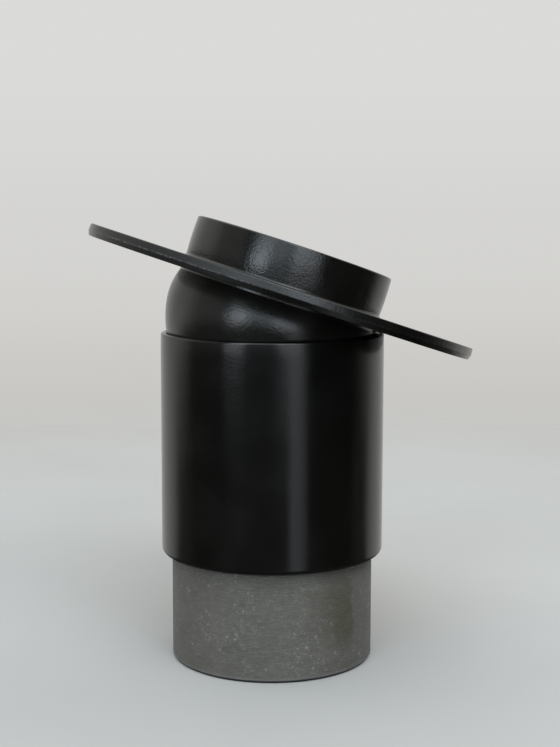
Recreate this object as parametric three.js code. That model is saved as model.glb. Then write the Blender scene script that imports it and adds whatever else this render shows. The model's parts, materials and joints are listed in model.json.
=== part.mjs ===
// A glazed ceramic vase in the form of a tilted hat on a tall vessel, standing on a stone plinth.
// Millimetres, +Z up. The origin is the centre of the foot, on the surface that the vase stands on.
//
// From the bottom up: a felt pad, a turned stone plinth, a cushion ring, an open cylindrical vessel,
// a round-bottomed bowl that sits in the vessel's mouth like a ball in a cup, and a hat (a flat brim
// with an open crown) that lies on the bowl's rim. The bowl can rock in the vessel's mouth until the
// brim touches the vessel's lip. At rest the brim leans on the lip on the +X side.

import * as THREE from 'three';

// Gaps between pieces that touch
const contactGap = 0.3; // between a curved or tilted piece and what it rests on
const bossClearance = 1; // round the boss, in the recess of the vessel's foot
const spigotClearance = 0.5; // round the hat's spigot, in the bowl's mouth

// Felt pad
const padThickness = 1.5;
const padInset = 1.8; // how far the pad's edge stays inside the stone's

// Stone plinth
const plinthHeight = 79.3;
const plinthInset = 7.9; // how far the stone's side stands back from the vessel's
const plinthArris = 0.8; // the broken edge at the top and the bottom
const bossRadius = 45;
const bossHeight = 4;
const bossChamfer = 1;

// Cushion ring
const ringThickness = 1;
const ringInset = 5; // from the stone's side to the ring's outer edge
const ringLand = 4; // from the recess in the vessel's foot to the ring's inner edge

// Vessel
const vesselRadius = 85;
const vesselHeight = 168.5;
const vesselWall = 4.5;
const vesselCorner = 4; // the rounding at the foot
const vesselFloor = 6;
const vesselCove = 8; // the rounding inside, where the wall meets the floor
const recessHeadroom = 0.5; // over the boss
const floorStep = 9; // how far the floor's raised middle runs out past the recess

// Bowl
const seatRise = 11.2; // the ball's centre above the crest of the vessel's lip
const bowlWall = 4.4;
const bowlRimHeight = 15.4; // the crest of the bowl's rim above the ball's centre
const bowlRimInset = 1; // from the ball's widest to the upright band under the crest
const bowlRimEdge = 1.5; // the rounding of the rim, outside and inside
const bowlFootRadius = 22; // the small flat that the bowl stands on when it is taken out

// Hat
const brimOverhang = 66.4; // how far the brim stands out past the vessel's side, when level
const brimThickness = 9;
const brimEdge = 1; // the rounding of the brim's upper edge
const brimBevelHeight = 3.8; // the bevel under the upright band of the brim's edge
const brimBevelInset = 1.3;
const crownHeight = 30.7; // above the brim
const crownWall = 5;
const crownSwell = 0.4; // how far the crown's side bulges, half way up
const crownEdge = 1.4; // the rounding of the crown's rim
const crownCove = 1.8; // the pool of glaze where the crown meets the brim
const spigotDepth = 8;
const spigotWall = 3.2;
const spigotChamfer = 1;

// Fineness of the facets
const segmentsRound = 72;
const stepsCorner = 3;
const stepsLip = 8;
const stepsBall = 16;
const stepsBowlInside = 13;
const stepsCrownSide = 6;

// Sizes that follow from those above
const plinthRadius = vesselRadius - plinthInset;
const plinthTop = padThickness + plinthHeight;
const vesselFootZ = plinthTop + ringThickness;
const vesselTopZ = vesselFootZ + vesselHeight;
const recessRadius = bossRadius + bossClearance;
const recessDepth = bossHeight - ringThickness + recessHeadroom;

// The ball seat. The vessel's lip is a ring of round section, and the bowl's outside is a ball that
// rests on it, so the ball's radius follows from the lip and from how high the ball's centre lies.
const lipRadius = vesselWall / 2;
const lipRingRadius = vesselRadius - lipRadius;
const ballCentreZ = vesselTopZ + seatRise;
const centreAboveLipRing = seatRise + lipRadius;
const centreToLipRing = Math.hypot(lipRingRadius, centreAboveLipRing);
const ballRadius = centreToLipRing - lipRadius - contactGap;

// The brim's underside lies on the bowl's rim. The bowl rocks about the ball's centre until that
// underside comes down on the same lip, which gives the angle at which the hat rests.
const brimUnderside = bowlRimHeight + contactGap;
const lipBelowSeat = Math.atan2(centreAboveLipRing, lipRingRadius);
const brimAboveSeat = Math.asin((brimUnderside - lipRadius - contactGap) / centreToLipRing);
const restTilt = lipBelowSeat + brimAboveSeat;

// The bowl's rim: an upright band, and a flat crest between two roundings that fit the wall
const bowlInnerRadius = ballRadius - bowlWall;
const bowlRimRadius = ballRadius - bowlRimInset;
const bowlRimRounding = Math.min(bowlRimEdge, (bowlWall - bowlRimInset) / 2);
const bowlRimShoulder = bowlRimHeight - bowlRimRounding;
const bowlMouthRadius = Math.sqrt(bowlInnerRadius ** 2 - bowlRimShoulder ** 2);

// The hat's spigot fits the bowl's mouth, and one straight bore runs through spigot, brim and crown
const spigotRadius = bowlMouthRadius - spigotClearance;
const boreRadius = spigotRadius - spigotWall;
const crownRadius = boreRadius + crownWall;
const brimRadius = vesselRadius + brimOverhang;

const quarterTurn = Math.PI / 2;

/** Points on an arc of a section, both ends included. Angles run from the outward direction to up. */
function arc(centreR, centreZ, radius, from, to, steps) {
  const points = [];
  for (let i = 0; i <= steps; i += 1) {
    const angle = from + ((to - from) * i) / steps;
    points.push([centreR + radius * Math.cos(angle), centreZ + radius * Math.sin(angle)]);
  }
  return points;
}

/** Points between the two ends of an upright side that swells out in the middle. */
function swelledSide(radius, from, to, swell, steps) {
  const points = [];
  for (let i = 1; i < steps; i += 1) {
    const share = i / steps;
    points.push([radius + swell * Math.sin(2 * quarterTurn * share), from + (to - from) * share]);
  }
  return points;
}

/** A solid of revolution about Z, from a section of [radius, height] points. */
function turned(section) {
  const profile = section.map(([radius, height]) => new THREE.Vector2(radius, height));
  const geometry = new THREE.LatheGeometry(profile, segmentsRound);
  geometry.rotateX(quarterTurn);
  return geometry;
}

/** A ring of revolution, whose section closes on itself. */
function turnedRing(section) {
  return turned([...section, section[0]]);
}

function piece(name, geometry, material) {
  const mesh = new THREE.Mesh(geometry, material);
  mesh.name = name;
  return mesh;
}

const blackGlaze = new THREE.MeshStandardMaterial({ color: 0x0d0d0f, roughness: 0.22, metalness: 0 });
const bluestone = new THREE.MeshStandardMaterial({ color: 0x5f6164, roughness: 0.8, metalness: 0 });
const darkFelt = new THREE.MeshStandardMaterial({ color: 0x1b1b1c, roughness: 1, metalness: 0 });
const cork = new THREE.MeshStandardMaterial({ color: 0x6b4d33, roughness: 0.95, metalness: 0 });

/** A disc of felt, glued under the stone. */
function feltPad() {
  const radius = plinthRadius - padInset;
  return turned([
    [0, 0],
    [radius, 0],
    [radius, padThickness],
    [0, padThickness],
  ]);
}

/** A turned drum with broken edges, and a boss on top that centres the vessel. */
function plinth() {
  const bossTop = plinthTop + bossHeight;
  return turned([
    [0, padThickness],
    [plinthRadius - plinthArris, padThickness],
    [plinthRadius, padThickness + plinthArris],
    [plinthRadius, plinthTop - plinthArris],
    [plinthRadius - plinthArris, plinthTop],
    [bossRadius, plinthTop],
    [bossRadius, bossTop - bossChamfer],
    [bossRadius - bossChamfer, bossTop],
    [0, bossTop],
  ]);
}

/** The washer between the stone and the vessel's glazed foot. */
function cushionRing() {
  const inner = recessRadius + ringLand;
  const outer = plinthRadius - ringInset;
  return turnedRing([
    [inner, plinthTop],
    [outer, plinthTop],
    [outer, vesselFootZ],
    [inner, vesselFootZ],
  ]);
}

/** A cast cylinder with a round lip, and a recess in its foot that pushes the floor up in the middle. */
function vessel() {
  const outer = vesselRadius;
  const inner = vesselRadius - vesselWall;
  const lipZ = vesselHeight - lipRadius;
  const raisedFloor = recessDepth + vesselFloor;
  return turned([
    [0, recessDepth],
    [recessRadius, recessDepth],
    [recessRadius, 0],
    ...arc(outer - vesselCorner, vesselCorner, vesselCorner, -quarterTurn, 0, stepsCorner),
    ...arc(lipRingRadius, lipZ, lipRadius, 0, 2 * quarterTurn, stepsLip),
    ...arc(inner - vesselCove, vesselFloor + vesselCove, vesselCove, 0, -quarterTurn, stepsCorner),
    [recessRadius + floorStep, vesselFloor],
    [recessRadius, raisedFloor],
    [0, raisedFloor],
  ]);
}

/** A ball cut open at the top, with an upright rim and a small flat foot. Heights are from its centre. */
function bowl() {
  const footAngle = Math.acos(bowlFootRadius / ballRadius);
  const footHeight = -ballRadius * Math.sin(footAngle);
  const insideFloor = footHeight + bowlWall;
  const insideFloorAngle = Math.asin(insideFloor / bowlInnerRadius);
  const bandAngle = Math.acos(bowlRimRadius / ballRadius);
  const mouthAngle = Math.asin(bowlRimShoulder / bowlInnerRadius);
  const rounding = bowlRimRounding;
  const outerEdge = bowlRimRadius - rounding;
  const innerEdge = bowlMouthRadius + rounding;
  const inside = arc(0, 0, bowlInnerRadius, mouthAngle, insideFloorAngle, stepsBowlInside);
  return turned([
    [0, footHeight],
    ...arc(0, 0, ballRadius, -footAngle, bandAngle, stepsBall),
    ...arc(outerEdge, bowlRimShoulder, rounding, 0, quarterTurn, stepsCorner),
    ...arc(innerEdge, bowlRimShoulder, rounding, quarterTurn, 2 * quarterTurn, stepsCorner),
    ...inside.slice(1),
    [0, insideFloor],
  ]);
}

/** The brim, the open crown over it and the spigot under it, fired as one. Heights as for the bowl. */
function hat() {
  const brimTop = brimUnderside + brimThickness;
  const crownTop = brimTop + crownHeight;
  const spigotEnd = brimUnderside - spigotDepth;
  const crownFoot = brimTop + crownCove;
  const crownShoulder = crownTop - crownEdge;
  return turnedRing([
    [boreRadius, spigotEnd],
    [spigotRadius - spigotChamfer, spigotEnd],
    [spigotRadius, spigotEnd + spigotChamfer],
    [spigotRadius, brimUnderside],
    [brimRadius - brimBevelInset, brimUnderside],
    [brimRadius, brimUnderside + brimBevelHeight],
    ...arc(brimRadius - brimEdge, brimTop - brimEdge, brimEdge, 0, quarterTurn, stepsCorner),
    ...arc(crownRadius + crownCove, crownFoot, crownCove, -quarterTurn, -2 * quarterTurn, stepsCorner),
    ...swelledSide(crownRadius, crownFoot, crownShoulder, crownSwell, stepsCrownSide),
    ...arc(crownRadius - crownEdge, crownShoulder, crownEdge, 0, quarterTurn, stepsCorner),
    ...arc(boreRadius + crownEdge, crownShoulder, crownEdge, quarterTurn, 2 * quarterTurn, stepsCorner),
  ]);
}

const vase = new THREE.Group();
vase.add(piece('felt_pad', feltPad(), darkFelt));
vase.add(piece('plinth', plinth(), bluestone));
vase.add(piece('cushion_ring', cushionRing(), cork));

const vesselMesh = piece('vessel', vessel(), blackGlaze);
vesselMesh.position.z = vesselFootZ;
vase.add(vesselMesh);

// The bowl and the hat share the ball's centre and lean together toward +X
const rocking = new THREE.Group();
rocking.position.z = ballCentreZ;
rocking.rotation.y = restTilt;
rocking.add(piece('bowl', bowl(), blackGlaze));
rocking.add(piece('hat', hat(), blackGlaze));
vase.add(rocking);

export default vase;
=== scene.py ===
"""The looks of a black-glazed vase with a tilted brim, standing on a turned bluestone plinth.

Every piece of the vase is turned, so each is a fine solid of revolution here, with the small waves
and dents of the real surface, and stands for its plainer solid in the frame. Metres, +Z up.
"""

import json
import math

import bpy
from mathutils import Matrix, Vector, noise


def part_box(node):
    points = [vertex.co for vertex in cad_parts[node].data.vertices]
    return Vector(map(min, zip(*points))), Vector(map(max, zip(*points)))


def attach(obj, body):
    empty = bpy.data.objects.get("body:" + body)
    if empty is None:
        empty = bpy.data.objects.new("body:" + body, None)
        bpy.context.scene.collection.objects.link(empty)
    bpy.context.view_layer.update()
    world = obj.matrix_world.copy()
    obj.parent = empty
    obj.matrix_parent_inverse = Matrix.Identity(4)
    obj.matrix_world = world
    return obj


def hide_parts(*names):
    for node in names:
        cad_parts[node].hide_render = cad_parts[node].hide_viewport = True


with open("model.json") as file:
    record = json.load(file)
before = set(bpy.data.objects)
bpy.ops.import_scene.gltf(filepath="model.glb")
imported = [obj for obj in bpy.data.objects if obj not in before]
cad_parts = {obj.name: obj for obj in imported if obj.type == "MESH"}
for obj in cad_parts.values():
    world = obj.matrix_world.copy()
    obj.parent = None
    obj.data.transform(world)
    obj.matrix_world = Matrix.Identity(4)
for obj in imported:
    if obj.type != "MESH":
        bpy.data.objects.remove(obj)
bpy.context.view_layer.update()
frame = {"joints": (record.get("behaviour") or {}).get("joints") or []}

MM = 0.001
QUARTER = math.pi / 2
joints = {joint["name"]: joint for joint in frame["joints"]}

# The camera, placed as it stood for the photograph
CAMERA_AZIMUTH = math.radians(-8.31)
CAMERA_DISTANCE = 1.002
CAMERA_HEIGHT = 0.3347
CAMERA_PITCH = math.radians(6.635)
CAMERA_YAW = math.radians(0.32)
CAMERA_ROLL = math.radians(-0.14)
FOCAL_PIXELS = 1318
PHOTO_HEIGHT_PIXELS = 747
SENSOR_LONG_SIDE = 36

# Directions in the row frame, as seen from the camera
TO_CAMERA = Vector((math.sin(CAMERA_AZIMUTH), -math.cos(CAMERA_AZIMUTH), 0))
TO_RIGHT = Vector((math.cos(CAMERA_AZIMUTH), math.sin(CAMERA_AZIMUTH), 0))

# The stain on the stone: which way it faces, and its soft edges across it and up and down from its middle
STAIN_TURN = math.radians(42)
STAIN_DIRECTION = TO_CAMERA * math.cos(STAIN_TURN) + TO_RIGHT * math.sin(STAIN_TURN)
STAIN_ACROSS = TO_RIGHT * math.cos(STAIN_TURN) - TO_CAMERA * math.sin(STAIN_TURN)
STAIN_LEFT_EDGE = (-33.0 * MM, 3.0 * MM)
STAIN_RIGHT_EDGE = (10.5 * MM, 14.5 * MM)
STAIN_MIDDLE_HEIGHT = 47.5 * MM
STAIN_HALF_HEIGHT = (12.0 * MM, 36.0 * MM)
STAIN_WOBBLE = 22.0 * MM

# Sizes taken from the frame
vessel_low, vessel_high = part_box("vessel")
plinth_low, plinth_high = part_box("plinth")
pad_low, pad_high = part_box("felt_pad")
ring_low, ring_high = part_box("cushion_ring")
hat_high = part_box("hat")[1]
VESSEL_RADIUS = vessel_high.y
VESSEL_FOOT = vessel_low.z
VESSEL_HEIGHT = vessel_high.z - vessel_low.z
PLINTH_RADIUS = plinth_high.y
PLINTH_FOOT = plinth_low.z
PLINTH_TOP = ring_low.z
BOSS_TOP = plinth_high.z
PAD_RADIUS = pad_high.y
RING_RADIUS = ring_high.y
BRIM_RADIUS = hat_high.y
BALL_CENTRE = Vector(joints["bowl_rock"]["pos_m"])
HAT_AXIS = Vector(joints["hat_lift"]["axis"]).normalized()
LEAN = math.atan2(HAT_AXIS.x, HAT_AXIS.z)
LEANING = Matrix.Translation(BALL_CENTRE) @ Matrix.Rotation(LEAN, 4, "Y")
UPRIGHT = Matrix.Identity(4)

# Sizes that the frame's boxes don't give
CONTACT_GAP = 0.3 * MM
VESSEL_WALL = 4.5 * MM
VESSEL_CORNER = 4.0 * MM
VESSEL_FLOOR = 6.0 * MM
VESSEL_COVE = 8.0 * MM
VESSEL_TAPER = 0.2 * MM
VESSEL_TAPER_LENGTH = 12.0 * MM
RECESS_RADIUS = 46.0 * MM
RECESS_DEPTH = 3.5 * MM
FLOOR_STEP = 9.0 * MM
PLINTH_ARRIS = 0.8 * MM
BOSS_RADIUS = 45.0 * MM
BOSS_CHAMFER = 1.0 * MM
RING_BORE = 50.0 * MM
BOWL_WALL = 4.4 * MM
BOWL_RIM_HEIGHT = 15.4 * MM
BOWL_SOLID_RIM_EDGE = 1.5 * MM
BOWL_SHOULDER_RADIUS = 50.0 * MM
BOWL_SHOULDER_START = math.radians(-8)
BOWL_SHOULDER_END = math.radians(20.8)
BOWL_LIP_EDGE = 0.5 * MM
BOWL_FOOT_RADIUS = 22.0 * MM
BRIM_THICKNESS = 9.0 * MM
BRIM_EDGE = 1.0 * MM
BRIM_BEVEL_HEIGHT = 3.8 * MM
BRIM_BEVEL_INSET = 1.3 * MM
BRIM_DRAFT = 0.32 * MM
BRIM_CORNER = 2.0 * MM
BRIM_LOW_EDGE = 0.9 * MM
CROWN_HEIGHT = 30.7 * MM
CROWN_WALL = 5.0 * MM
CROWN_SWELL = 0.4 * MM
CROWN_EDGE = 1.4 * MM
CROWN_COVE = 1.8 * MM
SPIGOT_DEPTH = 8.0 * MM
SPIGOT_WALL = 3.2 * MM
SPIGOT_CHAMFER = 1.0 * MM
SPIGOT_CLEARANCE = 0.5 * MM

# Where the brim is worn and has painted glints: distances in from its edge, sideways from the bowl's axis,
# and from the corners
EDGE_ZONE = (2.2 * MM, 1.4 * MM)
WORN_FROM = (-145.0 * MM, -105.0 * MM)
WORN_TO = (-40.0 * MM, 10.0 * MM)
CHIP_GLINT_REACH = (0.25 * MM, 0.8 * MM)
FACE_ABOVE_CORNER = (0.3 * MM, 0.9 * MM)
BROWN_REACH = (0.2 * MM, 0.7 * MM)
TOP_DUST_FADE = 3.0 * MM

# The ball seat, as in the frame's solids: the bowl's ball touches the vessel's round lip
LIP = VESSEL_WALL / 2
LIP_RING = VESSEL_RADIUS - LIP
BALL_ABOVE_LIP = BALL_CENTRE.z - (VESSEL_FOOT + VESSEL_HEIGHT - LIP)
BALL_RADIUS = math.hypot(LIP_RING, BALL_ABOVE_LIP) - LIP - CONTACT_GAP
BOWL_INSIDE = BALL_RADIUS - BOWL_WALL
BOWL_MOUTH_RADIUS = math.sqrt(BOWL_INSIDE ** 2 - (BOWL_RIM_HEIGHT - BOWL_SOLID_RIM_EDGE) ** 2)
BRIM_UNDERSIDE = BOWL_RIM_HEIGHT + CONTACT_GAP
SPIGOT_RADIUS = BOWL_MOUTH_RADIUS - SPIGOT_CLEARANCE
BORE_RADIUS = SPIGOT_RADIUS - SPIGOT_WALL
CROWN_RADIUS = BORE_RADIUS + CROWN_WALL

# Fineness of the meshes, and the radius under which a point is on the axis
SEGMENTS = 256
ARC_STEP = math.radians(7)
LEAST_ARC_STEPS = 4
LONG_ARC_RUN = 2.5 * MM
LONGEST_RUN = 5.0 * MM
NEAR_CORNER = 0.35 * MM
SHORTEST_DIVIDED = 4 * NEAR_CORNER
TAPER_STEPS = 12
SWELL_STEPS = 16
ON_AXIS = 1e-7


# Sections: lists of (radius, height) points, in the order that a turned solid's outline is walked

def arc(centre, radius, start, end, steps=None):
    """Points on an arc of a section, both ends included. Angles run from outward to up."""
    steps = steps or max(LEAST_ARC_STEPS, round(abs(end - start) / ARC_STEP))
    angles = [start + (end - start) * i / steps for i in range(steps + 1)]
    return [(centre[0] + radius * math.cos(a), centre[1] + radius * math.sin(a)) for a in angles]


def long_arc(centre, radius, start, end):
    """Points on a long arc of a section, in small steps."""
    return arc(centre, radius, start, end, math.ceil(abs(end - start) * radius / LONG_ARC_RUN))


def swelled_side(radius, low, high, swell):
    """Points between the ends of an upright side that swells out in the middle."""
    shares = [i / SWELL_STEPS for i in range(1, SWELL_STEPS)]
    return [(radius + swell * math.sin(math.pi * share), low + (high - low) * share) for share in shares]


def rounded(before, corner, after, radius):
    """Points of the rounding between two straight runs of a section that meet at the corner."""
    corner = Vector(corner)
    back = (Vector(before) - corner).normalized()
    ahead = (Vector(after) - corner).normalized()
    half = back.angle(ahead) / 2
    centre = corner + (back + ahead).normalized() * radius / math.sin(half)
    start = corner + back * radius / math.tan(half) - centre
    end = corner + ahead * radius / math.tan(half) - centre
    sweep = math.pi - 2 * half
    steps = max(LEAST_ARC_STEPS, round(sweep / ARC_STEP))
    points = []
    for i in range(steps + 1):
        share = i / steps
        between = start * math.sin((1 - share) * sweep) + end * math.sin(share * sweep)
        points.append(tuple(centre + between / math.sin(sweep)))
    return points


def filled(section, closed):
    """The section with its long straight runs divided, closely next to each corner."""
    ends = section[1:] + section[:1] if closed else section[1:]
    points = []
    for a, b in zip(section, ends):
        points.append(a)
        length = math.dist(a, b)
        if length < SHORTEST_DIVIDED:
            continue
        steps = max(1, math.ceil((length - 2 * NEAR_CORNER) / LONGEST_RUN))
        first, last = NEAR_CORNER / length, 1 - NEAR_CORNER / length
        for i in range(steps + 1):
            t = first + (last - first) * i / steps
            points.append((a[0] + (b[0] - a[0]) * t, a[1] + (b[1] - a[1]) * t))
    if not closed:
        points.append(section[-1])
    return points


def turned(name, section, place, closed=False, shape=None):
    """A smooth solid of revolution, placed by a matrix. shape(point, normal) gives each vertex's shift."""
    points = filled(section, closed)
    rings, vertices = [], []
    for radius, height in points:
        if radius < ON_AXIS:
            rings.append([len(vertices)])
            vertices.append(Vector((0, 0, height)))
            continue
        start = len(vertices)
        rings.append(list(range(start, start + SEGMENTS)))
        for i in range(SEGMENTS):
            turn = 2 * math.pi * i / SEGMENTS
            vertices.append(Vector((radius * math.cos(turn), radius * math.sin(turn), height)))
    faces = []
    following = rings[1:] + rings[:1] if closed else rings[1:]
    for lower, upper in zip(rings, following):
        for i in range(SEGMENTS):
            j = (i + 1) % SEGMENTS
            if len(lower) == 1:
                faces.append((lower[0], upper[j], upper[i]))
            elif len(upper) == 1:
                faces.append((lower[i], lower[j], upper[0]))
            else:
                faces.append((lower[i], lower[j], upper[j], upper[i]))
    mesh = bpy.data.meshes.new(name)
    mesh.from_pydata(vertices, [], faces)
    mesh.update()
    if shape:
        shifts = [shape(v.co.copy(), v.normal.copy()) for v in mesh.vertices]
        for vertex, shift in zip(mesh.vertices, shifts):
            vertex.co += shift
    mesh.transform(place)
    mesh.polygons.foreach_set("use_smooth", [True] * len(mesh.polygons))
    mesh.update()
    piece = bpy.data.objects.new(name, mesh)
    bpy.context.scene.collection.objects.link(piece)
    return piece


def waves(seed, *layers):
    """A shape of gentle waves, from layers of (wave length, height)."""
    def shape(point, normal):
        shift = sum(height * noise.noise(point / length + Vector((seed, seed, seed)))
                    for length, height in layers)
        return normal * shift
    return shape


def dress(piece, body, node, slot, *materials):
    """The piece rides on its body, stands for its solid and takes these materials."""
    for material in materials:
        piece.data.materials.append(material)
    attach(piece, body)
    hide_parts(node)


# Node helpers

class Nodes:
    """Makes nodes in one tree. An input is given by its name, or by its place as at0, at1 and so on.

    A socket that is given to an input is linked to it, and a number or colour is set on it.
    """

    def __init__(self, tree):
        self.tree = tree
        tree.nodes.clear()

    def add(self, kind, output=0, settings=None, **inputs):
        node = self.tree.nodes.new(kind)
        for key, value in (settings or {}).items():
            setattr(node, key, value)
        for key, value in inputs.items():
            self.put(node, key.replace("_", " "), value)
        return node if output is None else node.outputs[output]

    def put(self, node, key, value):
        socket = node.inputs[int(key[2:])] if key.startswith("at") else node.inputs[key]
        if isinstance(value, bpy.types.NodeSocket):
            self.tree.links.new(value, socket)
        else:
            socket.default_value = value

    def math(self, operation, a, b=0.0):
        return self.add("ShaderNodeMath", settings={"operation": operation}, at0=a, at1=b)

    def vector(self, operation, a, **inputs):
        return self.add("ShaderNodeVectorMath", settings={"operation": operation}, at0=a, **inputs)

    def dot(self, a, b):
        return self.vector("DOT_PRODUCT", a, at1=b, output=1)

    def ramp(self, value, start, end, low=0.0, high=1.0):
        """Goes smoothly from low at start to high at end."""
        return self.add("ShaderNodeMapRange", settings={"interpolation_type": "SMOOTHSTEP"},
                        Value=value, From_Min=start, From_Max=end, To_Min=low, To_Max=high)

    def product(self, *values):
        result = values[0]
        for value in values[1:]:
            result = self.math("MULTIPLY", result, value)
        return result

    def total(self, *values):
        result = values[0]
        for value in values[1:]:
            result = self.math("ADD", result, value)
        return result

    def mix(self, share, a, b):
        """A colour between a and b."""
        return self.add("ShaderNodeMix", output=2, settings={"data_type": "RGBA"}, at0=share, at6=a, at7=b)

    def noise(self, place, scale, detail=2.0, roughness=0.5, distortion=0.0):
        return self.add("ShaderNodeTexNoise", Vector=place, Scale=scale, Detail=detail,
                        Roughness=roughness, Distortion=distortion)

    def bump(self, height, distance, strength=1.0):
        return self.add("ShaderNodeBump", Height=height, Distance=distance, Strength=strength)

    def finish(self, **inputs):
        shader = self.add("ShaderNodeBsdfPrincipled", **inputs)
        self.add("ShaderNodeOutputMaterial", output=None, Surface=shader)


def material_nodes(name):
    material = bpy.data.materials.new(name)
    material.use_nodes = True
    return material, Nodes(material.node_tree)


# Colours, linear. The glaze's two are made paler for the bowl: painted light, lifting the bowl in the shade
# under the brim.
GLAZE_THICK = (0.0046, 0.0043, 0.0036)
GLAZE_THIN = (0.0076, 0.0071, 0.0061)
CLAY_IN_HOLE = (0.02, 0.016, 0.013, 1)
BRIM_DUST = (0.03, 0.031, 0.034, 1)
# Pale colour for the brim's chipped corner: painted glints of light
BRIM_CHIP_GLINT = (0.15, 0.145, 0.137, 1)
BRIM_BROWN = (0.05, 0.042, 0.022, 1)
STONE_DARK = (0.095, 0.087, 0.072, 1)
STONE_MIDDLE = (0.125, 0.115, 0.096, 1)
STONE_CLOUD = (0.149, 0.138, 0.117, 1)
STONE_GRAIN = (0.068, 0.064, 0.057, 1)
STONE_PALE_LINE = (0.190, 0.185, 0.172, 1)
STONE_DARK_LINE = (0.063, 0.061, 0.056, 1)
STONE_FINE_LINE = (0.20, 0.195, 0.182, 1)
STONE_SPECK = (0.38, 0.365, 0.33, 1)
STONE_STAIN = (0.071, 0.065, 0.035, 1)
STONE_PALE_FOOT = (0.27, 0.266, 0.25, 1)
FELT_DARK = (0.008, 0.008, 0.008, 1)
FELT_PALE = (0.022, 0.021, 0.02, 1)
FELT_TUFT = (0.014, 0.013, 0.013, 1)
CORK_DARK = (0.085, 0.045, 0.02, 1)
CORK_PALE = (0.23, 0.135, 0.065, 1)
CORK_GAP = (0.025, 0.014, 0.008, 1)
BEHIND_LIGHT = (1.0, 0.995, 0.965, 1)
PANEL_LOW = (0.91, 0.955, 1.0, 1)
PANEL_HIGH = (0.80, 0.91, 1.0, 1)
BACKDROP_LOW = (0.570, 0.560, 0.535, 1)
BACKDROP_MIDDLE = (0.660, 0.655, 0.640, 1)
BACKDROP_HIGH = (0.705, 0.705, 0.698, 1)
FLOOR_DARK = (0.462, 0.458, 0.446, 1)
FLOOR_PALE = (0.482, 0.478, 0.466, 1)
FLOOR_IN_GLOSS = (0.055, 0.053, 0.05, 1)

# Gloss of the glaze, and the relief of the surfaces as their bump's distance
GLAZE_ROUGHNESS = (0.15, 0.19)
GLAZE_IOR = 1.5
STONE_IOR = 1.45
GLAZE_RELIEF = 0.22 * MM
STONE_RELIEF = 0.28 * MM
FELT_RELIEF = 0.4 * MM
CORK_RELIEF = 0.15 * MM

# Levels of light around the vase
BEHIND_LEVEL = 0.6
LEFT_LEVEL = 0.38
LEFT_STRIP_LEVEL = 0.35
LEFT_PANEL_LEVEL = 3.5
RIGHT_PANEL_LEVEL = 2.2
BETWEEN_LEVEL = 1.5
BAR_LEVEL = 0.6
ABOVE_LEVEL = 0.9
LEAST_LEVEL = 0.012

# The one lamp, high on the camera's right
KEY_PLACE = TO_CAMERA * 1.0 + TO_RIGHT * 0.65 + Vector((0, 0, 1.6))
KEY_AIM = Vector((0, 0, 0.15))
KEY_SIZE = 1.0
KEY_POWER = 9

# The floor: its reach, where the camera sees it fade, and where it ends for the glaze
FLOOR_REACH = 8.0
FLOOR_SEEN_FADE = (0.5, 1.7)
FLOOR_NEAR_FADE = (0.16, 0.34)
FLOOR_SIDES_BACK = (-0.12, -0.04)
FLOOR_SIDES_FRONT = (0.0, 0.1)
FLOOR_SIDES_FADE = (1.2, 1.6)


# Materials

def black_glaze(name, seed, pebbly=1.0, pale=1.0, dull=0.0, worn_brim_with_glints=False):
    """A near-black satin glaze over clay: pooled and thinned a little, with a pebbly skin.

    On the hat, the brim's outer edge is worn rougher and chipped at its corner, with painted glints of
    light along that corner, and its top is dusty.
    """
    material, nodes = material_nodes(name)
    place = nodes.add("ShaderNodeTexCoord", output="Object")
    shifted = nodes.vector("ADD", place, at1=(seed, seed * 0.7, seed * 1.3))
    clouds = nodes.noise(shifted, 22, detail=5, roughness=0.6, distortion=0.4)
    fine_pebbles = nodes.noise(shifted, 1050, detail=1, roughness=0.5)
    pebbles = nodes.noise(shifted, 600, detail=1, roughness=0.5)
    ripples = nodes.noise(shifted, 180, detail=2)
    swells = nodes.noise(shifted, 34, detail=1)
    pinholes = nodes.add("ShaderNodeTexVoronoi", Vector=shifted, Scale=260)
    in_hole = nodes.ramp(pinholes, 0.02, 0.09, 1, 0)
    rare = nodes.ramp(nodes.noise(shifted, 90, detail=2), 0.62, 0.7)
    holes = nodes.product(in_hole, rare)
    # pale lightens the glaze's colours: painted light, used for the bowl in the brim's shade
    thick, thin = [tuple(part * pale for part in shade) + (1,) for shade in (GLAZE_THICK, GLAZE_THIN)]
    color = nodes.mix(nodes.ramp(clouds, 0.35, 0.7), thick, thin)
    color = nodes.mix(nodes.product(holes, 0.6), color, CLAY_IN_HOLE)
    scuffs = nodes.noise(shifted, 75, detail=6, roughness=0.7, distortion=1.2)
    smooth, rough = [part + dull for part in GLAZE_ROUGHNESS]
    roughness = nodes.total(nodes.ramp(clouds, 0.3, 0.75, smooth, rough),
                            nodes.ramp(scuffs, 0.55, 0.8, 0, 0.06))
    height = nodes.total(nodes.product(pebbles, 0.46 * pebbly), nodes.product(fine_pebbles, 0.3 * pebbly),
                         nodes.product(ripples, 0.42 * pebbly), nodes.product(swells, 1.6 * pebbly),
                         nodes.product(holes, -0.25))
    if worn_brim_with_glints:
        color, roughness, height = brim_wear_and_glints(nodes, place, color, roughness, height)
    normal = nodes.bump(height, GLAZE_RELIEF, strength=0.9)
    nodes.finish(Base_Color=color, Roughness=roughness, IOR=GLAZE_IOR, Normal=normal)
    return material


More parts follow.
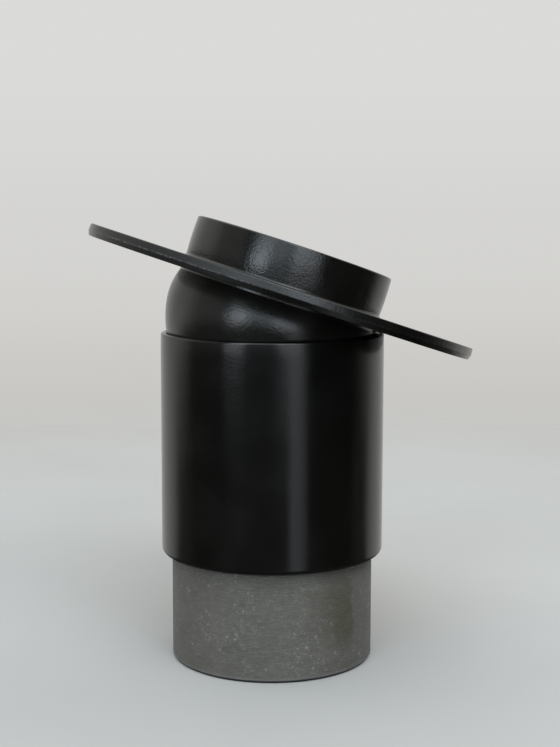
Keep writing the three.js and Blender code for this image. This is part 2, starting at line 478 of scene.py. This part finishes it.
def brim_wear_and_glints(nodes, place, color, roughness, height):
    """The brim's rougher edge with its streaks, its chipped corner with painted glints of light, and the
    dust on its top.
    """
    axis = tuple(HAT_AXIS)
    from_centre = nodes.vector("SUBTRACT", place, at1=tuple(BALL_CENTRE))
    along = nodes.dot(from_centre, axis)
    squared = nodes.math("SUBTRACT", nodes.dot(from_centre, from_centre), nodes.product(along, along))
    radius = nodes.math("SQRT", squared)
    on_edge = nodes.ramp(radius, BRIM_RADIUS - EDGE_ZONE[0], BRIM_RADIUS - EDGE_ZONE[1])
    stretch = nodes.vector("SCALE", axis, Scale=nodes.product(along, 9))
    stretched = nodes.vector("ADD", from_centre, at1=stretch)
    streaks = nodes.noise(stretched, 130, detail=4, roughness=0.7)
    specks = nodes.noise(place, 620, detail=3, roughness=0.7)
    aside = nodes.dot(from_centre, tuple(TO_RIGHT))
    worn_and_glint_side = nodes.product(nodes.ramp(aside, *WORN_FROM, 0, 1), nodes.ramp(aside, *WORN_TO, 1, 0.12))
    rubbed = nodes.ramp(streaks, 0.3, 0.7, 0.26, 0.42)
    roughness = nodes.total(roughness, nodes.product(on_edge, worn_and_glint_side, rubbed))

    # The corner between the edge's face and its bevel, where the glaze has chipped: its pale dotted line is
    # painted glints of light, on one side of the brim only
    from_corner = nodes.total(along, -(BRIM_UNDERSIDE + BRIM_BEVEL_HEIGHT))
    near_corner = nodes.ramp(nodes.math("ABSOLUTE", from_corner), *CHIP_GLINT_REACH, 1, 0)
    chip_glints = nodes.product(near_corner, on_edge, worn_and_glint_side, nodes.ramp(specks, 0.42, 0.6))

    # Dust on the edge's face, and brown clay where the glaze is thin on its lowest corner
    face = nodes.product(nodes.ramp(from_corner, *FACE_ABOVE_CORNER), on_edge)
    dusty = nodes.total(nodes.product(streaks, 0.6), nodes.product(specks, 0.4))
    dust = nodes.product(face, nodes.ramp(dusty, 0.46, 0.62))
    color = nodes.mix(nodes.product(dust, 0.1), color, BRIM_DUST)
    # Painted highlight: the pale chip colour lightens the corner as glints of light would
    color = nodes.mix(nodes.product(chip_glints, 0.6), color, BRIM_CHIP_GLINT)
    from_underside = nodes.math("ABSOLUTE", nodes.total(along, -BRIM_UNDERSIDE))
    low_corner = nodes.ramp(from_underside, *BROWN_REACH, 1, 0)
    brown = nodes.product(low_corner, on_edge, nodes.ramp(streaks, 0.42, 0.6))
    color = nodes.mix(nodes.product(brown, 0.7), color, BRIM_BROWN)

    # Dust on the flat top of the brim
    facing = nodes.dot(nodes.add("ShaderNodeTexCoord", output="Normal"), axis)
    on_top = nodes.product(nodes.ramp(facing, 0.85, 0.97),
                           nodes.ramp(radius, CROWN_RADIUS, CROWN_RADIUS + TOP_DUST_FADE))
    roughness = nodes.total(roughness, nodes.product(on_top, nodes.ramp(specks, 0.3, 0.7, 0.2, 0.35)))
    height = nodes.total(height, nodes.product(on_edge, streaks, 0.5))
    return color, roughness, height


def bluestone():
    """Turned grey stone: fine turning lines, pale specks, an olive stain and a paler band at the foot."""
    material, nodes = material_nodes("bluestone")
    place = nodes.add("ShaderNodeTexCoord", output="Object")
    x, y, z = nodes.add("ShaderNodeSeparateXYZ", output=None, at0=place).outputs

    # Broad and fine mottling
    broad = nodes.noise(place, 28, detail=5, roughness=0.62, distortion=0.3)
    cloudy = nodes.noise(place, 95, detail=6, roughness=0.68)
    grain = nodes.noise(place, 1100, detail=3, roughness=0.7)
    color = nodes.mix(nodes.ramp(broad, 0.3, 0.72), STONE_DARK, STONE_MIDDLE)
    color = nodes.mix(nodes.ramp(cloudy, 0.38, 0.68, 0, 0.45), color, STONE_CLOUD)
    color = nodes.mix(nodes.ramp(grain, 0.45, 0.7, 0, 0.5), color, STONE_GRAIN)

    # Turning lines: fine broken rings of the tool, paler and darker ones
    flat = nodes.add("ShaderNodeCombineXYZ", at0=x, at1=y, at2=nodes.product(z, 11))
    flatter = nodes.add("ShaderNodeCombineXYZ", at0=x, at1=y, at2=nodes.product(z, 26))
    lines = nodes.noise(flat, 120, detail=5, roughness=0.72)
    fine_lines = nodes.noise(flatter, 75, detail=4, roughness=0.7)
    color = nodes.mix(nodes.ramp(lines, 0.5, 0.68, 0, 0.5), color, STONE_PALE_LINE)
    color = nodes.mix(nodes.ramp(lines, 0.46, 0.3, 0, 0.4), color, STONE_DARK_LINE)
    color = nodes.mix(nodes.ramp(fine_lines, 0.53, 0.68, 0, 0.45), color, STONE_FINE_LINE)

    # Pale specks of shell and calcite: round ones in two sizes, and flakes and streaks in clusters
    ragged = nodes.add("ShaderNodeTexNoise", output=1, Vector=place, Scale=700, Detail=2)
    torn = nodes.vector("ADD", place, at1=nodes.vector("SCALE", ragged, Scale=2.2 * MM))
    small = nodes.add("ShaderNodeTexVoronoi", Vector=torn, Scale=430, Randomness=1.0)
    small_here = nodes.ramp(nodes.noise(place, 150, detail=3), 0.47, 0.62)
    medium = nodes.add("ShaderNodeTexVoronoi", Vector=torn, Scale=170, Randomness=1.0)
    medium_here = nodes.ramp(nodes.noise(place, 75, detail=3, roughness=0.6), 0.5, 0.6)
    clusters = nodes.ramp(nodes.noise(place, 38, detail=3, roughness=0.6), 0.42, 0.6, 0.3, 1.15)
    flakes = nodes.noise(place, 420, detail=4, roughness=0.75, distortion=1.0)
    streaks = nodes.noise(flat, 190, detail=4, roughness=0.75, distortion=0.4)
    specks = nodes.math("MAXIMUM", nodes.product(nodes.ramp(small, 0.12, 0.4, 0.4, 0), small_here),
                        nodes.product(nodes.ramp(medium, 0.08, 0.28, 0.9, 0), medium_here))
    specks = nodes.math("MAXIMUM", specks, nodes.product(nodes.ramp(flakes, 0.54, 0.72), clusters))
    specks = nodes.math("MAXIMUM", specks, nodes.product(nodes.ramp(streaks, 0.55, 0.74), clusters, 0.9))
    color = nodes.mix(nodes.product(specks, 0.55), color, STONE_SPECK)

    # The olive stain: a soft upright band on one side, sharper on its right
    stain_side = nodes.dot(place, STAIN_DIRECTION)
    stain_across = nodes.dot(place, STAIN_ACROSS)
    stain_noise = nodes.noise(place, 45, detail=4, roughness=0.65)
    stain_wobble = nodes.product(nodes.total(stain_noise, -0.5), STAIN_WOBBLE)
    stain_place = nodes.total(stain_across, stain_wobble)
    from_middle = nodes.total(z, nodes.product(stain_wobble, 1.6), -STAIN_MIDDLE_HEIGHT)
    stain_height = nodes.math("ABSOLUTE", from_middle)
    stain = nodes.product(nodes.ramp(stain_place, *STAIN_LEFT_EDGE),
                          nodes.ramp(stain_place, *STAIN_RIGHT_EDGE, 1, 0),
                          nodes.ramp(stain_height, *STAIN_HALF_HEIGHT, 1, 0),
                          nodes.ramp(stain_side, 0, 20 * MM))
    stain = nodes.product(stain, nodes.ramp(cloudy, 0.3, 0.6, 0.6, 1), nodes.ramp(lines, 0.4, 0.62, 1, 0.7))
    color = nodes.mix(nodes.product(stain, 0.95), color, STONE_STAIN)

    # Paler along the lowest few millimetres, at the foot
    low_edge = nodes.ramp(nodes.total(z, nodes.product(cloudy, 3 * MM)), 2.5 * MM, 6.2 * MM, 1, 0)
    color = nodes.mix(nodes.product(low_edge, 0.5), color, STONE_PALE_FOOT)

    roughness = nodes.ramp(cloudy, 0.3, 0.7, 0.55, 0.72)
    height = nodes.total(nodes.product(lines, 0.5), nodes.product(fine_lines, 0.4),
                         nodes.product(grain, 0.5), nodes.product(cloudy, 0.6),
                         nodes.product(specks, -0.25))
    from_axis = nodes.math("SQRT", nodes.total(nodes.product(x, x), nodes.product(y, y)))
    on_side = nodes.ramp(from_axis, 30 * MM, 35 * MM)
    normal = nodes.bump(nodes.product(height, on_side), STONE_RELIEF, strength=0.8)
    nodes.finish(Base_Color=color, Roughness=roughness, IOR=STONE_IOR,
                 Sheen_Weight=0.12, Sheen_Roughness=0.5, Normal=normal)
    return material


def felt():
    """Dense dark wool felt: matted fibres in all directions."""
    material, nodes = material_nodes("dark_felt")
    place = nodes.add("ShaderNodeTexCoord", output="Object")
    fibres = nodes.noise(place, 1500, detail=4, roughness=0.75, distortion=3)
    tufts = nodes.noise(place, 260, detail=3, roughness=0.6)
    color = nodes.mix(nodes.ramp(fibres, 0.35, 0.7), FELT_DARK, FELT_PALE)
    color = nodes.mix(nodes.ramp(tufts, 0.45, 0.75, 0, 0.5), color, FELT_TUFT)
    normal = nodes.bump(nodes.total(fibres, tufts), FELT_RELIEF, strength=0.9)
    nodes.finish(Base_Color=color, Roughness=0.95, Sheen_Weight=0.25, Sheen_Roughness=0.6, Normal=normal)
    return material


def cork():
    """Pressed cork: pale and dark granules with fine dark gaps."""
    material, nodes = material_nodes("cork")
    place = nodes.add("ShaderNodeTexCoord", output="Object")
    granules = nodes.add("ShaderNodeTexVoronoi", output="Color", Vector=place, Scale=620)
    gaps = nodes.add("ShaderNodeTexVoronoi", settings={"feature": "DISTANCE_TO_EDGE"},
                     Vector=place, Scale=620)
    tint = nodes.dot(granules, (0.4, 0.35, 0.25))
    color = nodes.mix(nodes.ramp(tint, 0.15, 0.85), CORK_DARK, CORK_PALE)
    in_gap = nodes.ramp(gaps, 0.01, 0.07, 1, 0)
    color = nodes.mix(nodes.product(in_gap, 0.8), color, CORK_GAP)
    height = nodes.total(nodes.product(in_gap, -1), nodes.product(tint, 0.4))
    normal = nodes.bump(height, CORK_RELIEF)
    nodes.finish(Base_Color=color, Roughness=0.88, Normal=normal)
    return material


# The pieces

def vessel_section():
    outer, inner = VESSEL_RADIUS, VESSEL_RADIUS - VESSEL_WALL
    raised = RECESS_DEPTH + VESSEL_FLOOR
    lip_start = math.acos(1 - VESSEL_TAPER / LIP)
    taper_top = VESSEL_HEIGHT - LIP + LIP * math.sin(lip_start)
    shares = [i / TAPER_STEPS for i in range(TAPER_STEPS)]
    taper = [(outer - VESSEL_TAPER * share * share, taper_top - VESSEL_TAPER_LENGTH * (1 - share))
             for share in shares]
    return [
        (0, RECESS_DEPTH),
        (RECESS_RADIUS, RECESS_DEPTH),
        (RECESS_RADIUS, 0),
        *arc((outer - VESSEL_CORNER, VESSEL_CORNER), VESSEL_CORNER, -QUARTER, 0),
        *taper,
        *arc((LIP_RING, VESSEL_HEIGHT - LIP), LIP, lip_start, 2 * QUARTER),
        *arc((inner - VESSEL_COVE, VESSEL_FLOOR + VESSEL_COVE), VESSEL_COVE, 0, -QUARTER),
        (RECESS_RADIUS + FLOOR_STEP, VESSEL_FLOOR),
        (RECESS_RADIUS, raised),
        (0, raised),
    ]


def bowl_section():
    foot_angle = math.acos(BOWL_FOOT_RADIUS / BALL_RADIUS)
    foot = -BALL_RADIUS * math.sin(foot_angle)
    floor = foot + BOWL_WALL
    floor_angle = math.asin(floor / BOWL_INSIDE)
    inward = BALL_RADIUS - BOWL_SHOULDER_RADIUS
    shoulder = (inward * math.cos(BOWL_SHOULDER_START), inward * math.sin(BOWL_SHOULDER_START))
    rim_side = shoulder[0] + BOWL_SHOULDER_RADIUS * math.cos(BOWL_SHOULDER_END)
    rim_top = BOWL_RIM_HEIGHT - BOWL_LIP_EDGE
    mouth_angle = math.asin(rim_top / BOWL_INSIDE)
    inner = BOWL_INSIDE * math.cos(mouth_angle) + BOWL_LIP_EDGE
    return [
        (0, foot),
        *long_arc((0, 0), BALL_RADIUS, -foot_angle, BOWL_SHOULDER_START),
        *long_arc(shoulder, BOWL_SHOULDER_RADIUS, BOWL_SHOULDER_START, BOWL_SHOULDER_END)[1:],
        *arc((rim_side - BOWL_LIP_EDGE, rim_top), BOWL_LIP_EDGE, 0, QUARTER),
        *arc((inner, rim_top), BOWL_LIP_EDGE, QUARTER, 2 * QUARTER),
        *long_arc((0, 0), BOWL_INSIDE, mouth_angle, floor_angle)[1:],
        (0, floor),
    ]


def hat_section():
    top = BRIM_UNDERSIDE + BRIM_THICKNESS
    crown_top = top + CROWN_HEIGHT
    end = BRIM_UNDERSIDE - SPIGOT_DEPTH
    crown_foot, crown_shoulder = top + CROWN_COVE, crown_top - CROWN_EDGE
    bevel_end = (BRIM_RADIUS - BRIM_BEVEL_INSET, BRIM_UNDERSIDE)
    bevel_top = (BRIM_RADIUS, BRIM_UNDERSIDE + BRIM_BEVEL_HEIGHT)
    edge_top = (BRIM_RADIUS - BRIM_DRAFT, top - BRIM_EDGE)
    return [
        (BORE_RADIUS, end),
        (SPIGOT_RADIUS - SPIGOT_CHAMFER, end),
        (SPIGOT_RADIUS, end + SPIGOT_CHAMFER),
        (SPIGOT_RADIUS, BRIM_UNDERSIDE),
        *rounded((SPIGOT_RADIUS, BRIM_UNDERSIDE), bevel_end, bevel_top, BRIM_LOW_EDGE),
        *rounded(bevel_end, bevel_top, edge_top, BRIM_CORNER),
        *arc((edge_top[0] - BRIM_EDGE, edge_top[1]), BRIM_EDGE, 0, QUARTER),
        *arc((CROWN_RADIUS + CROWN_COVE, crown_foot), CROWN_COVE, -QUARTER, -2 * QUARTER),
        *swelled_side(CROWN_RADIUS, crown_foot, crown_shoulder, CROWN_SWELL),
        *arc((CROWN_RADIUS - CROWN_EDGE, crown_shoulder), CROWN_EDGE, 0, QUARTER),
        *arc((BORE_RADIUS + CROWN_EDGE, crown_shoulder), CROWN_EDGE, QUARTER, 2 * QUARTER),
    ]


def plinth_section():
    side, foot, top = PLINTH_RADIUS, PLINTH_FOOT, PLINTH_TOP
    arris = PLINTH_ARRIS
    return [
        (0, foot),
        (side - arris, foot),
        (side, foot + arris),
        (side, top - arris),
        (side - arris, top),
        (BOSS_RADIUS, top),
        (BOSS_RADIUS, BOSS_TOP - BOSS_CHAMFER),
        (BOSS_RADIUS - BOSS_CHAMFER, BOSS_TOP),
        (0, BOSS_TOP),
    ]


def make_pieces():
    foot = Matrix.Translation((0, 0, VESSEL_FOOT))
    vessel = turned("glazed_vessel", vessel_section(), foot,
                    shape=waves(3.1, (50 * MM, 0.07 * MM), (16 * MM, 0.018 * MM)))
    dress(vessel, "vessel", "vessel", "black_glaze", black_glaze("glaze_vessel", 0.0, pebbly=0.3))

    bowl = turned("glazed_bowl", bowl_section(), LEANING,
                  shape=waves(11.7, (35 * MM, 0.05 * MM), (14 * MM, 0.015 * MM)))
    # The bowl's glaze is painted paler, as light in the shade under the brim
    dress(bowl, "bowl", "bowl", "black_glaze", black_glaze("glaze_bowl", 3.7, pale=2.2, dull=0.045))

    hat = turned("glazed_hat", hat_section(), LEANING, closed=True,
                 shape=waves(23.9, (45 * MM, 0.06 * MM), (15 * MM, 0.018 * MM)))
    dress(hat, "hat", "hat", "black_glaze", black_glaze("glaze_hat", 8.9, worn_brim_with_glints=True))

    plinth = turned("turned_stone", plinth_section(), UPRIGHT,
                    shape=waves(31.3, (30 * MM, 0.04 * MM), (4 * MM, 0.02 * MM)))
    dress(plinth, "base", "plinth", "bluestone", bluestone())

    pad_section = [(0, pad_low.z), (PAD_RADIUS, pad_low.z), (PAD_RADIUS, pad_high.z), (0, pad_high.z)]
    pad = turned("felt_disc", pad_section, UPRIGHT)
    dress(pad, "base", "felt_pad", "felt", felt())

    ring_section = [(RING_BORE, ring_low.z), (RING_RADIUS, ring_low.z),
                    (RING_RADIUS, ring_high.z), (RING_BORE, ring_high.z)]
    ring = turned("cork_ring", ring_section, UPRIGHT, closed=True)
    dress(ring, "base", "cushion_ring", "cork", cork())


# Camera, light and floor

def make_camera():
    data = bpy.data.cameras.new("camera")
    data.sensor_width = SENSOR_LONG_SIDE
    data.lens = FOCAL_PIXELS / PHOTO_HEIGHT_PIXELS * SENSOR_LONG_SIDE
    data.clip_start = 0.05
    data.clip_end = 50
    camera = bpy.data.objects.new("camera", data)
    bpy.context.scene.collection.objects.link(camera)
    camera.location = TO_CAMERA * CAMERA_DISTANCE + Vector((0, 0, CAMERA_HEIGHT))
    camera.rotation_euler = (math.radians(90) - CAMERA_PITCH, CAMERA_ROLL, CAMERA_AZIMUTH - CAMERA_YAW)
    bpy.context.scene.camera = camera


def make_world():
    """The light round the vase: pale from behind it, and from two bright panels in the dim front.

    turn is the direction's angle from the camera's side in radians, to the right positive, and up is
    the sine of its height. The camera sees a plain backdrop in place of all this.
    """
    world = bpy.data.worlds.new("studio")
    bpy.context.scene.world = world
    world.use_nodes = True
    nodes = Nodes(world.node_tree)
    way = nodes.add("ShaderNodeTexCoord", output="Generated")
    toward = nodes.dot(way, TO_CAMERA)
    right = nodes.dot(way, TO_RIGHT)
    up = nodes.dot(way, (0, 0, 1))
    turn = nodes.math("ARCTAN2", right, toward)

    # Pale light from behind, dimmer light from the left, and a brighter strip between them
    beside = nodes.math("ABSOLUTE", turn)
    low_behind = nodes.product(nodes.ramp(beside, 1.8, 2.1), nodes.ramp(up, -0.6, -0.3))
    behind_height = nodes.math("MAXIMUM", nodes.ramp(up, -0.26, -0.07), low_behind)
    behind = nodes.product(nodes.ramp(beside, 1.5, 2.3, 0, BEHIND_LEVEL), behind_height)
    from_left = nodes.product(nodes.ramp(turn, -1.0, -0.86, 1, 0), nodes.ramp(turn, -2.2, -1.7),
                              nodes.ramp(up, -0.14, 0.06, 0.01, LEFT_LEVEL))
    left_strip = nodes.product(nodes.ramp(turn, -1.75, -1.5, 1, 0), nodes.ramp(turn, -2.3, -1.9),
                               nodes.ramp(up, -0.25, 0.02, 0, LEFT_STRIP_LEVEL),
                               nodes.ramp(up, -0.08, 0.1, 1, 0.45))

    # Two panels in front, with a dimmer one and a bar between them. The right one narrows downward.
    leaning = nodes.total(turn, nodes.product(up, -0.5))
    left_panel = nodes.product(nodes.ramp(leaning, -0.89, -0.80), nodes.ramp(leaning, -0.58, -0.44, 1, 0),
                               nodes.ramp(up, -0.11, 0.03, 0, LEFT_PANEL_LEVEL),
                               nodes.ramp(up, 0.165, 0.35, 1, 0.2))
    bend = nodes.math("MAXIMUM", nodes.math("MINIMUM", up, 0.0), -0.15)
    narrowing = nodes.product(bend, -0.7)
    off_centre = nodes.math("ABSOLUTE", nodes.total(turn, -0.29, nodes.product(bend, 1.1)))
    right_panel = nodes.product(nodes.ramp(nodes.total(off_centre, narrowing), 0.18, 0.31, 1, 0),
                                nodes.ramp(up, -0.17, 0.12, 0.66, RIGHT_PANEL_LEVEL),
                                nodes.ramp(up, 0.25, 0.4, 1, 0.3))
    between = nodes.product(nodes.ramp(turn, -0.9, -0.6), nodes.ramp(turn, 0.3, 0.75, 1, 0),
                            nodes.ramp(up, -0.12, 0.24, 0.03, BETWEEN_LEVEL))
    bar = nodes.product(nodes.ramp(nodes.math("ABSOLUTE", nodes.total(turn, 0.165)), 0.015, 0.06, 1, 0),
                        nodes.ramp(up, 0.0, 0.12, 0, BAR_LEVEL))
    above = nodes.ramp(up, 0.4, 0.9, 0, ABOVE_LEVEL)
    bars = nodes.add("ShaderNodeCombineXYZ", at0=nodes.product(turn, 9), at1=nodes.product(up, 1.5))
    uneven = nodes.ramp(nodes.noise(bars, 1.0, detail=3, roughness=0.6), 0.3, 0.7, 0.78, 1.2)
    panels = nodes.product(nodes.total(left_panel, right_panel, between, bar), uneven)
    light = nodes.total(behind, from_left, left_strip, panels, above, LEAST_LEVEL)
    in_front = nodes.ramp(beside, 0.8, 1.05, 1, 0)
    front_color = nodes.mix(nodes.ramp(up, -0.05, 0.14), PANEL_LOW, PANEL_HIGH)
    light_color = nodes.mix(in_front, BEHIND_LIGHT, front_color)
    lit = nodes.add("ShaderNodeBackground", Color=light_color, Strength=light)

    # The plain backdrop that the camera sees
    low = nodes.mix(nodes.ramp(up, -0.16, -0.02), BACKDROP_LOW, BACKDROP_MIDDLE)
    back = nodes.mix(nodes.ramp(up, -0.02, 0.12), low, BACKDROP_HIGH)
    seen = nodes.add("ShaderNodeBackground", Color=back, Strength=1.0)
    is_camera = nodes.add("ShaderNodeLightPath", output="Is Camera Ray")
    both = nodes.add("ShaderNodeMixShader", at0=is_camera, at1=lit, at2=seen)
    nodes.add("ShaderNodeOutputWorld", output=None, Surface=both)


def make_floor():
    """A plain pale floor, which keeps the vase's shadow and fades into the backdrop far behind it.

    The glaze mirrors it darker than it is seen, near the vase and to the sides only.
    """
    corners = [(x * FLOOR_REACH, y * FLOOR_REACH, 0) for x, y in ((-1, -1), (1, -1), (1, 1), (-1, 1))]
    mesh = bpy.data.meshes.new("floor")
    mesh.from_pydata(corners, [], [(0, 1, 2, 3)])
    floor = bpy.data.objects.new("floor", mesh)
    bpy.context.scene.collection.objects.link(floor)
    material, nodes = material_nodes("floor")
    place = nodes.add("ShaderNodeTexCoord", output="Object")
    away = nodes.vector("LENGTH", place, output=1)
    cloth = nodes.noise(place, 4, detail=3)
    pale = nodes.mix(nodes.ramp(cloth, 0.3, 0.7), FLOOR_DARK, FLOOR_PALE)
    is_camera = nodes.add("ShaderNodeLightPath", output="Is Camera Ray")
    color = nodes.mix(is_camera, FLOOR_IN_GLOSS, pale)
    surface = nodes.add("ShaderNodeBsdfDiffuse", Color=color)
    clear = nodes.add("ShaderNodeBsdfTransparent")
    seen_fade = nodes.ramp(away, *FLOOR_SEEN_FADE)
    toward = nodes.dot(place, TO_CAMERA)
    near = nodes.ramp(away, *FLOOR_NEAR_FADE, 1, 0)
    sides = nodes.product(nodes.ramp(toward, *FLOOR_SIDES_BACK),
                          nodes.ramp(toward, *FLOOR_SIDES_FRONT, 1, 0),
                          nodes.ramp(away, *FLOOR_SIDES_FADE, 1, 0))
    light_fade = nodes.math("SUBTRACT", 1.0, nodes.math("MAXIMUM", near, sides))
    fade = nodes.total(nodes.product(seen_fade, is_camera),
                       nodes.product(light_fade, nodes.math("SUBTRACT", 1.0, is_camera)))
    mixed = nodes.add("ShaderNodeMixShader", at0=fade, at1=surface, at2=clear)
    nodes.add("ShaderNodeOutputMaterial", output=None, Surface=mixed)
    mesh.materials.append(material)


def make_key_lamp():
    data = bpy.data.lights.new("key", "AREA")
    data.shape = "DISK"
    data.size = KEY_SIZE
    data.energy = KEY_POWER
    lamp = bpy.data.objects.new("key", data)
    bpy.context.scene.collection.objects.link(lamp)
    lamp.location = KEY_PLACE
    lamp.rotation_euler = (KEY_AIM - lamp.location).to_track_quat("-Z", "Y").to_euler()
    lamp.visible_camera = False


bpy.context.scene.view_settings.view_transform = "Standard"
make_camera()
make_world()
make_floor()
make_key_lamp()
make_pieces()
